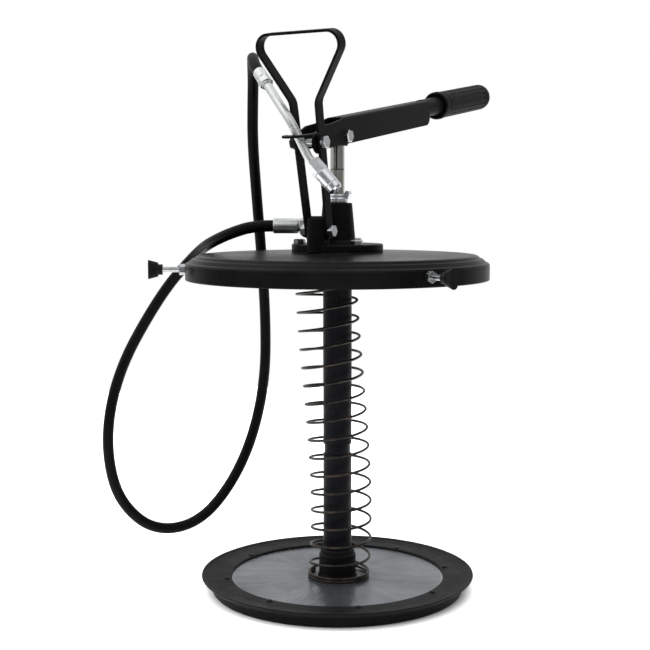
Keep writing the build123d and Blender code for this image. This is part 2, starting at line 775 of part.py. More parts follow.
# ---------------------------------------------------------------------------
# lever: forked channel, tube and rubber grip
# ---------------------------------------------------------------------------
LEVER_COS = cos(radians(LEVER_REST))
LEVER_SIN = sin(radians(LEVER_REST))
lever_plane = Plane(
    origin=(PIVOT_X, 0, PIVOT_Z),
    x_dir=(LEVER_COS, 0, LEVER_SIN),
    z_dir=(0, -1, 0),
)
TAIL_R = 12.6
CHANNEL_LOW = -8.6
WEB_START = 58.0
INNER_HALF = CHANNEL_HALF - CHANNEL_WALL
lever_axis = Plane(
    origin=lever_plane.from_local_coords((0, LEVER_TUBE_V, 0)),
    x_dir=(0, 1, 0),
    z_dir=(LEVER_COS, 0, LEVER_SIN),
)
with BuildPart() as lever_channel:
    with BuildSketch(lever_plane):
        with BuildLine():
            l1 = Polyline((0, TAIL_R), (12.0, 16.6), (34.0, 17.6), (WEB_START - 6.0, 19.6), (WEB_START, CHANNEL_TOP))
            l2 = Line(l1 @ 1, (CHANNEL_END, CHANNEL_TOP))
            l3 = Line(l2 @ 1, (CHANNEL_END, 2.0))
            l4 = ThreePointArc(l3 @ 1, (CHANNEL_END - 3.1, -5.5), (CHANNEL_END - 10.6, CHANNEL_LOW))
            l5 = Line(l4 @ 1, (24.0, CHANNEL_LOW))
            l6 = Line(l5 @ 1, (9.2, -8.61))
            l7 = ThreePointArc(l6 @ 1, (-TAIL_R, 0), l1 @ 0)
        make_face()
    extrude(amount=CHANNEL_HALF, both=True)
    long_edges = lever_channel.edges().filter_by(lambda e: e.length > 150).group_by(
        SortBy.LENGTH)[0]
    top_edges = long_edges.sort_by(Axis.Z)[-2:]
    fillet(top_edges, radius=4.5)
    with BuildSketch(lever_plane):
        with BuildLine():
            Polyline(
                (-40.0, -40.0),
                (CHANNEL_END + 20.0, -40.0),
                (CHANNEL_END + 20.0, CHANNEL_TOP - CHANNEL_WALL),
                (WEB_START, CHANNEL_TOP - CHANNEL_WALL),
                (WEB_START, 60.0),
                (-40.0, 60.0),
                close=True,
            )
        make_face()
    extrude(amount=INNER_HALF, both=True, mode=Mode.SUBTRACT)
    with BuildSketch(lever_axis.offset(CHANNEL_END - TUBE_LAP)):
        Circle(LEVER_TUBE_R + SEATED)
    extrude(amount=30.0, mode=Mode.SUBTRACT)
    for u in (0.0, ARM):
        with BuildSketch(lever_plane):
            with Locations((u, 0)):
                Circle(PIN_R + (RUNNING_FIT if u == 0.0 else SEATED))
        extrude(amount=40.0, both=True, mode=Mode.SUBTRACT)
lever_channel.part.label = "lever_channel"
export_step(lever_channel.part, "parts/lever_channel.step")

with BuildPart() as lever_tube:
    with BuildSketch(lever_axis.offset(CHANNEL_END - TUBE_LAP)):
        Circle(LEVER_TUBE_R)
        Circle(LEVER_TUBE_R - 2.0, mode=Mode.SUBTRACT)
    extrude(amount=TUBE_END - CHANNEL_END + TUBE_LAP)
lever_tube.part.label = "lever_tube"
export_step(lever_tube.part, "parts/lever_tube.step")

# grip: flared open mouth, long flutes, domed end with a small seam groove
grip_plane = Plane(
    origin=lever_axis.origin,
    x_dir=(LEVER_COS, 0, LEVER_SIN),
    z_dir=(0, -1, 0),
)
grip_line = Axis(origin=lever_axis.origin, direction=(LEVER_COS, 0, LEVER_SIN))
FLUTES = 16
with BuildPart() as lever_grip:
    with BuildSketch(grip_plane):
        with BuildLine():
            g1 = Polyline(
                (GRIP_START + 3.2, LEVER_TUBE_R + SEATED),
                (GRIP_START + 2.4, GRIP_R - 3.0),
                (GRIP_START, GRIP_R - 2.0),
                (GRIP_START - 0.6, GRIP_R - 0.8),
                (GRIP_START + 0.8, GRIP_R + 0.6),
                (GRIP_START + 6.0, GRIP_R + 0.8),
                (GRIP_START + 11.0, GRIP_R - 0.6),
                (GRIP_START + 16.0, GRIP_R),
                (GRIP_END - 17.0, GRIP_R),
                (GRIP_END - 15.6, GRIP_R - 0.9),
                (GRIP_END - 14.2, GRIP_R),
                (GRIP_END - 10.0, GRIP_R),
            )
            g2 = Bezier(g1 @ 1, (GRIP_END - 2.5, GRIP_R), (GRIP_END, 13.0), (GRIP_END, 0))
            Polyline(g2 @ 1, (TUBE_END + 0.2, 0), (TUBE_END + 0.2, LEVER_TUBE_R + SEATED), g1 @ 0)
        make_face()
    revolve(axis=grip_line)
    with BuildSketch(lever_axis.offset(GRIP_START + 20.0)):
        with PolarLocations(GRIP_R + 1.0, FLUTES):
            Circle(1.9)
    extrude(amount=GRIP_END - GRIP_START - 41.0, mode=Mode.SUBTRACT)
lever_grip.part.label = "lever_grip"
export_step(lever_grip.part, "parts/lever_grip.step")

# rod pin bolt and nut on the lever channel
PIN_X = PIVOT_X + ARM * LEVER_COS
with BuildPart() as rod_pin_bolt:
    with BuildSketch(across(PIN_X, -CHANNEL_HALF - BOLT_HEAD_H, PIN_Z)):
        RegularPolygon(BOLT_AF / 2, 6, major_radius=False, rotation=8.0)
    extrude(amount=BOLT_HEAD_H)
    chamfer(rod_pin_bolt.faces().sort_by(Axis.Y)[0].edges(), length=HEAD_CHAMFER)
    with BuildSketch(across(PIN_X, -CHANNEL_HALF - 0.5, PIN_Z)):
        Circle(PIN_R)
    extrude(amount=2 * CHANNEL_HALF + 8.0)
rod_pin_bolt.part.label = "rod_pin_bolt"
export_step(rod_pin_bolt.part, "parts/rod_pin_bolt.step")

with BuildPart() as rod_pin_nut:
    with BuildSketch(across(PIN_X, CHANNEL_HALF, PIN_Z)):
        RegularPolygon(BOLT_AF / 2, 6, major_radius=False, rotation=20.0)
    extrude(amount=NUT_H)
    chamfer(rod_pin_nut.faces().sort_by(Axis.Y)[-1].edges(), length=HEAD_CHAMFER)
    with BuildSketch(across(PIN_X, CHANNEL_HALF - 1.0, PIN_Z)):
        Circle(PIN_R + SEATED)
    extrude(amount=12.0, mode=Mode.SUBTRACT)
rod_pin_nut.part.label = "rod_pin_nut"
export_step(rod_pin_nut.part, "parts/rod_pin_nut.step")

# ---------------------------------------------------------------------------
# outlet union and hose ferrule
# ---------------------------------------------------------------------------
FERRULE_IN = 44.0
FERRULE_OUT = 73.0
FERRULE_R = 8.5
with BuildPart() as outlet_nut:
    with BuildSketch(radial(OUTLET_ANGLE, BOSS_END - 10.0, OUTLET_Z)):
        Circle(6.5)
    extrude(amount=12.0)
    with BuildSketch(radial(OUTLET_ANGLE, BOSS_END + 1.0, OUTLET_Z)):
        RegularPolygon(7.9, 6, major_radius=False, rotation=15.0)
    extrude(amount=7.0)
    with BuildSketch(radial(OUTLET_ANGLE, BOSS_END + 8.0, OUTLET_Z)):
        Circle(6.2)
    extrude(amount=FERRULE_IN - BOSS_END - 8.0)
    with BuildSketch(radial(OUTLET_ANGLE, BOSS_END - 12.0, OUTLET_Z)):
        Circle(2.5)
    extrude(amount=30.0, mode=Mode.SUBTRACT)
outlet_nut.part.label = "outlet_nut"
export_step(outlet_nut.part, "parts/outlet_nut.step")


def ferrule_profile(length, radius):
    """Half profile of a hose ferrule with rounded ends, along its axis from z = 0."""
    return (
        (2.5, 0),
        (radius - 1.6, 0),
        (radius - 0.5, 0.5),
        (radius, 1.6),
        (radius, length - 1.6),
        (radius - 0.5, length - 0.5),
        (radius - 1.6, length),
        (2.5, length),
    )


outlet_frame = radial(OUTLET_ANGLE, FERRULE_IN, OUTLET_Z)
with BuildPart() as outlet_ferrule:
    with BuildSketch(Plane(outlet_frame.origin, x_dir=(0, 0, 1), z_dir=-outlet_frame.y_dir)):
        with BuildLine():
            Polyline(*ferrule_profile(FERRULE_OUT - FERRULE_IN, FERRULE_R), close=True)
        make_face()
    revolve(axis=Axis(outlet_frame.origin, outlet_frame.z_dir))
    # eight crimped flats
    with BuildSketch(outlet_frame):
        RegularPolygon(FERRULE_R - 0.33, 8, major_radius=False, rotation=9.0)
    extrude(amount=FERRULE_OUT - FERRULE_IN, mode=Mode.INTERSECT)
outlet_ferrule.part.label = "outlet_ferrule"
export_step(outlet_ferrule.part, "parts/outlet_ferrule.step")

# ---------------------------------------------------------------------------
# delivery hose: from the outlet ferrule over the lid, down in a long loop and
# up behind the handle, folding over to the nozzle ferrule
# ---------------------------------------------------------------------------
NOZZLE_END = Vector(-40, 79, 593)
NOZZLE_BEND = Vector(-82.0, 11.8, 535.6)
nozzle_dir = (NOZZLE_END - NOZZLE_BEND).normalized()
HOSE_POINTS = [
    polar(FERRULE_OUT, OUTLET_ANGLE, OUTLET_Z),
    polar(FERRULE_OUT + 22.0, OUTLET_ANGLE, OUTLET_Z),
    Vector(-54, 108, 412.5),
    Vector(-47, 135, 403.8),
    Vector(-30, 161, 396.3),
    Vector(-12, 186, 387.3),
    Vector(-5, 205.9, 374.3),
    Vector(-9.6, 231.4, 348.3),
    Vector(-28.3, 252, 306.6),
    Vector(-50.4, 271.5, 254.4),
    Vector(-67.6, 279.2, 202.8),
    Vector(-75.2, 279.7, 152.8),
    Vector(-69.3, 275.7, 104),
    Vector(-55.9, 265.9, 72),
    Vector(-33.1, 251, 46.8),
    Vector(-6.1, 230.6, 39.6),
    Vector(22.8, 210.3, 49.9),
    Vector(50.8, 194.8, 78.1),
    Vector(75.3, 180.7, 120.5),
    Vector(93.7, 171.5, 173),
    Vector(99.3, 163.8, 232),
    Vector(97.9, 162.2, 292),
    Vector(91.4, 161.1, 352),
    Vector(81.2, 159.4, 410),
    Vector(67.2, 155.4, 467),
    Vector(49.8, 148.1, 522),
    Vector(41.6, 142.1, 563),
    Vector(31.1, 134.2, 590),
    Vector(16.7, 125.1, 606.5),
    Vector(-0.8, 113.3, 613.5),
    Vector(-19.1, 101, 611.5),
    NOZZLE_END + nozzle_dir * 13.0,
    NOZZLE_END,
]
runs = [b - a for a, b in zip(HOSE_POINTS, HOSE_POINTS[1:])]
radii = []
for before, after in zip(runs, runs[1:]):
    half_turn = radians(before.get_angle(after) / 2)
    radii.append(0.45 * min(before.length, after.length) / tan(half_turn))
print("hose runs", [round(r.length) for r in runs])
print("hose radii", [round(r) for r in radii])
with BuildLine() as hose_path:
    FilletPolyline(*HOSE_POINTS, radius=radii)
hose_wire = hose_path.wires()[0]
with BuildPart() as delivery_hose:
    with BuildSketch(Plane(origin=hose_wire @ 0, z_dir=hose_wire % 0)):
        Circle(HOSE_D / 2)
    sweep(path=hose_wire)
delivery_hose.part.label = "delivery_hose"
print("hose length", round(hose_wire.length), "volume ratio",
      round(delivery_hose.part.volume / (hose_wire.length * 3.14159265 * HOSE_D ** 2 / 4), 4))
export_step(delivery_hose.part, "parts/delivery_hose.step")

# ---------------------------------------------------------------------------
# nozzle: ferrule, hex union, bent tube and grease coupler, parked on the handle
# ---------------------------------------------------------------------------
COUPLER_TOP = Vector(-73.3, -16.0, 485.3)
COUPLER_END = Vector(-67.5, -38.0, 460.5)
coupler_dir = (COUPLER_END - COUPLER_TOP).normalized()
FERRULE_LEN = 17.0
HEX_LEN = 9.0
SEAM = NOZZLE_END - nozzle_dir * FERRULE_LEN
HEX_IN = SEAM - nozzle_dir * HEX_LEN

ferrule_side = nozzle_dir.cross(Vector(0, 0, 1)).normalized()
with BuildPart() as nozzle_ferrule:
    with BuildSketch(Plane(origin=SEAM, x_dir=ferrule_side, z_dir=ferrule_side.cross(nozzle_dir))):
        with BuildLine():
            Polyline(*ferrule_profile(FERRULE_LEN, 7.25), close=True)
        make_face()
    revolve(axis=Axis(SEAM, nozzle_dir))
nozzle_ferrule.part.label = "nozzle_ferrule"
export_step(nozzle_ferrule.part, "parts/nozzle_ferrule.step")

with BuildPart() as nozzle_hex:
    with BuildSketch(Plane(origin=HEX_IN, x_dir=ferrule_side, z_dir=nozzle_dir)):
        RegularPolygon(7.0, 6, major_radius=False, rotation=20.0)
        Circle(NOZZLE_R + SEATED, mode=Mode.SUBTRACT)
    extrude(amount=HEX_LEN)
    with BuildSketch(Plane(origin=HEX_IN, x_dir=ferrule_side, z_dir=-nozzle_dir)):
        Circle(5.9)
        Circle(NOZZLE_R + SEATED, mode=Mode.SUBTRACT)
    extrude(amount=3.0)
nozzle_hex.part.label = "nozzle_hex"
export_step(nozzle_hex.part, "parts/nozzle_hex.step")

BODY_TOP = COUPLER_TOP - coupler_dir * 7.0
SLEEVE_IN = COUPLER_TOP + coupler_dir * 8.0
coupler_side = coupler_dir.cross(Vector(0, 0, 1)).normalized()
with BuildLine() as nozzle_path:
    FilletPolyline(
        COUPLER_TOP + coupler_dir * 3.0,
        COUPLER_TOP - coupler_dir * 12.0,
        NOZZLE_BEND,
        HEX_IN + nozzle_dir * (HEX_LEN - 1.0),
        radius=[30.0, 30.0],
    )
nozzle_wire = nozzle_path.wires()[0]
with BuildPart() as nozzle_tube:
    with BuildSketch(Plane(origin=nozzle_wire @ 0, z_dir=nozzle_wire % 0)):
        Circle(NOZZLE_R)
        Circle(NOZZLE_R - 1.6, mode=Mode.SUBTRACT)
    sweep(path=nozzle_wire)
nozzle_tube.part.label = "nozzle_tube"
export_step(nozzle_tube.part, "parts/nozzle_tube.step")

# coupler: hexagonal body, knurled sleeve, three jaws inside the mouth
with BuildPart() as coupler_body:
    with BuildSketch(Plane(origin=BODY_TOP, x_dir=coupler_side, z_dir=coupler_dir)):
        RegularPolygon(7.85, 6, major_radius=False, rotation=10.0)
    extrude(amount=15.0)
    with BuildSketch(Plane(origin=SLEEVE_IN, x_dir=coupler_side, z_dir=coupler_dir)):
        Circle(6.4)
    extrude(amount=10.0)
    with BuildSketch(Plane(origin=BODY_TOP, x_dir=coupler_side, z_dir=coupler_dir)):
        Circle(NOZZLE_R + SEATED)
    extrude(amount=10.5, mode=Mode.SUBTRACT)
    with BuildSketch(Plane(origin=BODY_TOP, x_dir=coupler_side, z_dir=coupler_dir)):
        Circle(2.0)
    extrude(amount=40.0, mode=Mode.SUBTRACT)
coupler_body.part.label = "coupler_body"
export_step(coupler_body.part, "parts/coupler_body.step")

SLEEVE_LEN = (COUPLER_END - SLEEVE_IN).length
MOUTH_R = 4.25
with BuildPart() as coupler_sleeve:
    with BuildSketch(Plane(origin=SLEEVE_IN, x_dir=coupler_side, z_dir=coupler_side.cross(coupler_dir))):
        with BuildLine():
            Polyline(
                (6.4 + SEATED, 0),
                (8.2, 0),
                (8.5, 0.8),
                (8.5, SLEEVE_LEN - 9.0),
                (8.2, SLEEVE_LEN - 8.4),
                (8.2, SLEEVE_LEN - 2.4),
                (6.8, SLEEVE_LEN),
                (MOUTH_R, SLEEVE_LEN),
                (MOUTH_R, SLEEVE_LEN - 3.0),
                (6.4 + SEATED, SLEEVE_LEN - 4.0),
                close=True,
            )
        make_face()
    revolve(axis=Axis(SLEEVE_IN, coupler_dir))
coupler_sleeve.part.label = "coupler_sleeve"
export_step(coupler_sleeve.part, "parts/coupler_sleeve.step")

JAW_IN = SLEEVE_IN + coupler_dir * 10.1
with BuildPart() as coupler_jaws:
    with BuildSketch(Plane(origin=JAW_IN, x_dir=coupler_side, z_dir=coupler_dir)):
        Circle(6.3)
        Circle(MOUTH_R, mode=Mode.SUBTRACT)
        with PolarLocations(6.0, 3):
            Rectangle(6.0, 1.2, mode=Mode.SUBTRACT)
    extrude(amount=SLEEVE_LEN - 14.4)
coupler_jaws.part.label = "coupler_jaws"
export_step(coupler_jaws.part, "parts/coupler_jaws.step")
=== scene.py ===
import math

import bmesh
import bpy
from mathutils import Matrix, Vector


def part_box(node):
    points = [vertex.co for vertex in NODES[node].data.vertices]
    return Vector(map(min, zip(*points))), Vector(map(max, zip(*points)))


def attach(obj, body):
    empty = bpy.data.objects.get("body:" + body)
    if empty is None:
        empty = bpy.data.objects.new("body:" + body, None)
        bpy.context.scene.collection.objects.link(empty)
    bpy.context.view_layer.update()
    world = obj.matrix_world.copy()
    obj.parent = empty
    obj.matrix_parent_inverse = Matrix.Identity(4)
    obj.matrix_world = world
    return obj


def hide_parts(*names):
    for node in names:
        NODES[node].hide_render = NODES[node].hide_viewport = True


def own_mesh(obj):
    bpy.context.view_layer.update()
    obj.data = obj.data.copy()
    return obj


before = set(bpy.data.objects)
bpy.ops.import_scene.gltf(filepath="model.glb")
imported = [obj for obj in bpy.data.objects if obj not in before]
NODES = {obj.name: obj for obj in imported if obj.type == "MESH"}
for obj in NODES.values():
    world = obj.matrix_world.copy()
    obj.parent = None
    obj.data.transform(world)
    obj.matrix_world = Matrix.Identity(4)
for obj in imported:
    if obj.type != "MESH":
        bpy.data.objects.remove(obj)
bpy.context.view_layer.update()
SCENE = bpy.context.scene

# ---------------------------------------------------------------------------
# camera: looks along +X and +Y from just above the lid, pitched slightly down
# ---------------------------------------------------------------------------
camera_data = bpy.data.cameras.new("camera")
camera_data.lens = 70.9
camera_data.sensor_width = 36.0
camera_data.shift_x = -0.0191
camera_data.clip_start = 0.05
camera_data.clip_end = 60.0
camera = bpy.data.objects.new("camera", camera_data)
SCENE.collection.objects.link(camera)
camera.location = (-1.2618, -0.7285, 0.453)
HEADING = math.radians(30.0)
PITCH = math.radians(-5.71)
look = Vector((
    math.cos(HEADING) * math.cos(PITCH),
    math.sin(HEADING) * math.cos(PITCH),
    math.sin(PITCH),
))
camera.rotation_mode = "QUATERNION"
camera.rotation_quaternion = look.to_track_quat("-Z", "Y")
SCENE.camera = camera

# ---------------------------------------------------------------------------
# delivery hose: one smooth spline through the route of the tube
# ---------------------------------------------------------------------------
HOSE_D = 0.0132
HOSE_EXIT = (-0.0365, 0.06322, 0.4204)
HOSE_ROUTE = [
    HOSE_EXIT,
    (-0.0475, 0.08227, 0.4204),
    (-0.0540, 0.1080, 0.4125),
    (-0.0470, 0.1350, 0.4038),
    (-0.0300, 0.1610, 0.3963),
    (-0.0120, 0.1860, 0.3873),
    (-0.0050, 0.2059, 0.3743),
    (-0.0096, 0.2314, 0.3483),
    (-0.0283, 0.2520, 0.3066),
    (-0.0504, 0.2715, 0.2544),
    (-0.0676, 0.2792, 0.2028),
    (-0.0752, 0.2797, 0.1528),
    (-0.0693, 0.2757, 0.1040),
    (-0.0559, 0.2659, 0.0720),
    (-0.0331, 0.2510, 0.0468),
    (-0.0061, 0.2306, 0.0396),
    (0.0228, 0.2103, 0.0499),
    (0.0508, 0.1948, 0.0781),
    (0.0753, 0.1807, 0.1205),
    (0.0937, 0.1715, 0.1730),
    (0.0993, 0.1638, 0.2320),
    (0.0979, 0.1622, 0.2920),
    (0.0914, 0.1611, 0.3520),
    (0.0812, 0.1594, 0.4100),
    (0.0672, 0.1554, 0.4670),
    (0.0498, 0.1481, 0.5220),
    (0.0416, 0.1421, 0.5630),
    (0.0311, 0.1342, 0.5900),
    (0.0167, 0.1251, 0.6065),
    (-0.0008, 0.1133, 0.6135),
    (-0.0191, 0.1010, 0.6115),
    (-0.03442, 0.08793, 0.60063),
    (-0.040, 0.079, 0.593),
]


def nurbs(name, points, radius):
    """Curve object of one open NURBS spline with these control points."""
    data = bpy.data.curves.new(name, "CURVE")
    data.dimensions = "3D"
    data.resolution_u = 10
    data.bevel_depth = 1.0
    data.bevel_resolution = 8
    data.use_fill_caps = True
    spline = data.splines.new("NURBS")
    spline.points.add(len(points) - 1)
    for point, place in zip(spline.points, points):
        point.co = (*place, 1.0)
        point.radius = radius
    spline.order_u = 3
    spline.use_endpoint_u = True
    made = bpy.data.objects.new(name, data)
    SCENE.collection.objects.link(made)
    return made


hose = nurbs("hose", HOSE_ROUTE, HOSE_D / 2)
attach(hose, "root")
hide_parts("delivery_hose")


# ---------------------------------------------------------------------------
# material building
# ---------------------------------------------------------------------------
class Graph:
    """Node graph of one material, with short calls for the nodes used here."""

    def __init__(self, name):
        self.material = bpy.data.materials.new(name)
        self.material.use_nodes = True
        self.use(self.material.node_tree)
        self.out = self.nodes.new("ShaderNodeOutputMaterial")
        self.shader = self.nodes.new("ShaderNodeBsdfPrincipled")
        self.links.new(self.shader.outputs[0], self.out.inputs[0])
        self.place = self.nodes.new("ShaderNodeTexCoord").outputs["Object"]

    def use(self, tree):
        tree.nodes.clear()
        self.nodes = tree.nodes
        self.links = tree.links

    @classmethod
    def of_tree(cls, tree):
        """Graph on a node tree that isn't a material's."""
        graph = cls.__new__(cls)
        graph.use(tree)
        return graph

    def put(self, socket, value):
        if isinstance(value, bpy.types.NodeSocket):
            self.links.new(value, socket)
        elif isinstance(value, tuple) and len(value) == 3 and socket.type == "RGBA":
            socket.default_value = (*value, 1.0)
        else:
            socket.default_value = value

    def set(self, **values):
        for key, value in values.items():
            self.put(self.shader.inputs[key.replace("_", " ")], value)

    def mapped(self, scale=(1, 1, 1), rotate=(0, 0, 0)):
        """Object coordinates, stretched and turned."""
        node = self.nodes.new("ShaderNodeMapping")
        node.inputs["Scale"].default_value = scale
        node.inputs["Rotation"].default_value = rotate
        self.links.new(self.place, node.inputs["Vector"])
        return node.outputs[0]

    def local(self, origin, turn):
        """Object coordinates about a point of the XY plane, turned about Z."""
        node = self.nodes.new("ShaderNodeMapping")
        node.vector_type = "TEXTURE"
        node.inputs["Location"].default_value = (*origin, 0.0)
        node.inputs["Rotation"].default_value = (0.0, 0.0, turn)
        self.links.new(self.place, node.inputs["Vector"])
        return node.outputs[0]

    def noise(self, scale, detail=4.0, rough=0.55, distort=0.0, vector=None):
        node = self.nodes.new("ShaderNodeTexNoise")
        node.inputs["Scale"].default_value = scale
        node.inputs["Detail"].default_value = detail
        node.inputs["Roughness"].default_value = rough
        node.inputs["Distortion"].default_value = distort
        self.links.new(vector or self.place, node.inputs["Vector"])
        return node.outputs[0]

    def cells(self, scale, jitter=1.0):
        """Distance to the nearest of a field of scattered points."""
        node = self.nodes.new("ShaderNodeTexVoronoi")
        node.feature = "F1"
        node.inputs["Scale"].default_value = scale
        node.inputs["Randomness"].default_value = jitter
        self.links.new(self.place, node.inputs["Vector"])
        return node.outputs["Distance"]

    def math(self, kind, a, b=0.0, c=0.0, clamp=False):
        node = self.nodes.new("ShaderNodeMath")
        node.operation = kind
        node.use_clamp = clamp
        for socket, value in zip(node.inputs, (a, b, c)):
            self.put(socket, value)
        return node.outputs[0]

    def band(self, value, low, high, out_low=0.0, out_high=1.0):
        node = self.nodes.new("ShaderNodeMapRange")
        node.interpolation_type = "SMOOTHSTEP"
        for key, item in (
            ("Value", value),
            ("From Min", low),
            ("From Max", high),
            ("To Min", out_low),
            ("To Max", out_high),
        ):
            self.put(node.inputs[key], item)
        return node.outputs[0]

    def mix(self, share, a, b, kind="MIX"):
        node = self.nodes.new("ShaderNodeMix")
        node.data_type = "RGBA"
        node.blend_type = kind
        self.put(node.inputs[0], share)
        self.put(node.inputs[6], a)
        self.put(node.inputs[7], b)
        return node.outputs[2]

    def split(self, vector):
        node = self.nodes.new("ShaderNodeSeparateXYZ")
        self.links.new(vector, node.inputs[0])
        return node.outputs

    def join(self, x, y, z):
        node = self.nodes.new("ShaderNodeCombineXYZ")
        for socket, value in zip(node.inputs, (x, y, z)):
            self.put(socket, value)
        return node.outputs[0]

    def up(self):
        """Height of the surface normal: 1 on faces that look up."""
        node = self.nodes.new("ShaderNodeNewGeometry")
        return self.split(node.outputs["Normal"])[2]

    def edges(self, radius):
        """Rounded normal, and a mask of the sharp edges."""
        bevel = self.nodes.new("ShaderNodeBevel")
        bevel.samples = 6
        bevel.inputs["Radius"].default_value = radius
        geometry = self.nodes.new("ShaderNodeNewGeometry")
        dot = self.nodes.new("ShaderNodeVectorMath")
        dot.operation = "DOT_PRODUCT"
        self.links.new(bevel.outputs[0], dot.inputs[0])
        self.links.new(geometry.outputs["Normal"], dot.inputs[1])
        return bevel.outputs[0], self.band(dot.outputs["Value"], 0.995, 0.93)

    def bump(self, height, distance, strength=1.0, normal=None):
        node = self.nodes.new("ShaderNodeBump")
        node.inputs["Distance"].default_value = distance
        node.inputs["Strength"].default_value = strength
        self.links.new(height, node.inputs["Height"])
        if normal is not None:
            self.links.new(normal, node.inputs["Normal"])
        return node.outputs[0]

    def radial(self):
        """Polar angle and radius about the Z axis."""
        x, y, _ = self.split(self.place)
        return self.math("ARCTAN2", y, x), self.math(
            "POWER", self.math("ADD", self.math("MULTIPLY", x, x), self.math("MULTIPLY", y, y)), 0.5
        )


def paint(name, tone=0.0030, sheen=0.0058, gloss=0.24, wear=0.14, peel=0.00003, gleam=0.035):
    """Satin black enamel: cloudy gloss, fine peel, thin scratches, slightly rubbed edges."""
    g = Graph(name)
    cloud = g.noise(11.0, 5.0, 0.6)
    fine = g.noise(190.0, 6.0, 0.65)
    base = g.mix(g.band(cloud, 0.35, 0.7), (tone, tone, tone * 1.06), (sheen, sheen, sheen * 1.05))
    dust = g.math("MULTIPLY", g.band(g.up(), 0.6, 0.98), g.band(g.noise(30.0, 7.0, 0.7), 0.46, 0.78))
    base = g.mix(g.math("MULTIPLY", dust, 0.14), base, (0.022, 0.022, 0.023))
    normal, edge = g.edges(0.0008)
    rubbed = g.math("MULTIPLY", edge, g.band(fine, 0.48, 0.68))
    base = g.mix(g.math("MULTIPLY", rubbed, wear), base, (0.055, 0.052, 0.049))
    scratch = g.noise(60.0, 8.0, 0.75, 0.4, g.mapped((1.0, 1.0, 9.0), (0.5, 0.3, 0.9)))
    base = g.mix(g.band(scratch, 0.69, 0.74, 0.0, 0.14), base, (0.035, 0.035, 0.035))
    rough = g.math("ADD", g.band(cloud, 0.3, 0.75, gloss, gloss + 0.10), g.math("MULTIPLY", fine, 0.08))
    normal = g.bump(g.noise(480.0, 2.0, 0.5), peel, 1.0, normal)
    g.set(Base_Color=base, Roughness=rough, Normal=normal, Metallic=0.0)
    g.set(Specular_IOR_Level=gleam)
    return g.material


def metal(name, tone=(0.55, 0.56, 0.57), low=0.20, high=0.34, grime=0.25, lines=(1.0, 1.0, 1.0), soft=0.0005):
    """Zinc-plated steel: faintly cloudy tone, drawn lines, dark film in a few places."""
    g = Graph(name)
    cloud = g.noise(38.0, 4.0, 0.55)
    drawn = g.noise(380.0, 4.0, 0.6, 0.0, g.mapped(lines))
    pale = tuple(min(1.0, c * 1.06) for c in tone)
    dull = tuple(c * 0.84 for c in tone)
    base = g.mix(g.band(cloud, 0.32, 0.7), dull, pale)
    film = g.band(g.noise(95.0, 7.0, 0.7), 0.58, 0.76)
    base = g.mix(g.math("MULTIPLY", film, grime), base, (0.12, 0.115, 0.105))
    normal, edge = g.edges(soft)
    base = g.mix(g.math("MULTIPLY", edge, 0.3), base, pale)
    rough = g.math("ADD", g.band(cloud, 0.3, 0.72, low, high), g.math("MULTIPLY", drawn, 0.08))
    normal = g.bump(drawn, 0.000015, 1.0, normal)
    g.set(Base_Color=base, Metallic=1.0, Roughness=rough, Normal=normal)
    return g.material


# the rod's marks: the side of a painted dark reflection stripe, and the height of the oil ring
DARK_STRIPE_ANGLE = math.radians(-158.0)
OIL_RING_Z = 0.484


def rod_steel(name):
    """Ground and plated rod: warm grey, a painted dark reflection stripe down one side, an oil ring."""
    g = Graph(name)
    x, y, z = g.split(g.place)
    angle = g.math("ARCTAN2", y, x)
    off_stripe = g.math("ABSOLUTE", g.math("SUBTRACT", angle, DARK_STRIPE_ANGLE))
    line = g.band(off_stripe, 0.06, 0.13, 1.0, 0.0)
    above = g.band(z, OIL_RING_Z - 0.001, OIL_RING_Z + 0.002)
    ring = g.band(g.math("ABSOLUTE", g.math("SUBTRACT", z, OIL_RING_Z)), 0.0005, 0.0012, 1.0, 0.0)
    cloud = g.noise(40.0, 3.0, 0.5, 0.0, g.mapped((1.0, 1.0, 0.5)))
    base = g.mix(g.band(cloud, 0.35, 0.7), (0.46, 0.455, 0.425), (0.54, 0.535, 0.505))
    # painted reflection: a dark stripe down one side of the rod, above the oil ring, in place of a dark
    # reflection in the plating
    base = g.mix(g.math("MULTIPLY", line, above), base, (0.03, 0.03, 0.03))
    base = g.mix(g.math("MULTIPLY", ring, 0.7), base, (0.05, 0.05, 0.048))
    turned = g.noise(900.0, 3.0, 0.5, 0.0, g.mapped((0.05, 0.05, 1.0)))
    rough = g.math("ADD", g.band(cloud, 0.3, 0.7, 0.14, 0.24), g.math("MULTIPLY", turned, 0.08))
    g.set(Base_Color=base, Metallic=1.0, Roughness=rough, Normal=g.bump(turned, 0.000012))
    return g.material


def dark_steel(name, tone=(0.0032, 0.0034, 0.0048), shine=(0.030, 0.026, 0.023), metallic=0.2):
    """Blackened tube: blue-black, with brown oily smears running down and round it."""
    g = Graph(name)
    smear = g.noise(24.0, 8.0, 0.66, 0.6, g.mapped((1.6, 1.6, 0.35)))
    wipe = g.noise(16.0, 6.0, 0.6, 0.8, g.mapped((0.5, 0.5, 2.2), (0.25, 0.1, 0.0)))
    fine = g.noise(210.0, 6.0, 0.7, 0.0, g.mapped((1.0, 1.0, 0.5)))
    base = g.mix(g.band(smear, 0.44, 0.74), tone, (0.0085, 0.009, 0.012))
    scuff = g.math("MULTIPLY", g.band(wipe, 0.56, 0.70), g.band(fine, 0.42, 0.66))
    base = g.mix(g.math("MULTIPLY", scuff, 0.7), base, shine)
    normal, edge = g.edges(0.0006)
    base = g.mix(g.math("MULTIPLY", edge, 0.3), base, shine)
    rough = g.math("ADD", g.band(smear, 0.35, 0.7, 0.34, 0.52), g.math("MULTIPLY", fine, 0.10))
    normal = g.bump(fine, 0.00006, 1.0, normal)
    g.set(Base_Color=base, Metallic=metallic, Roughness=rough, Normal=normal)
    g.set(Specular_IOR_Level=0.08)
    return g.material


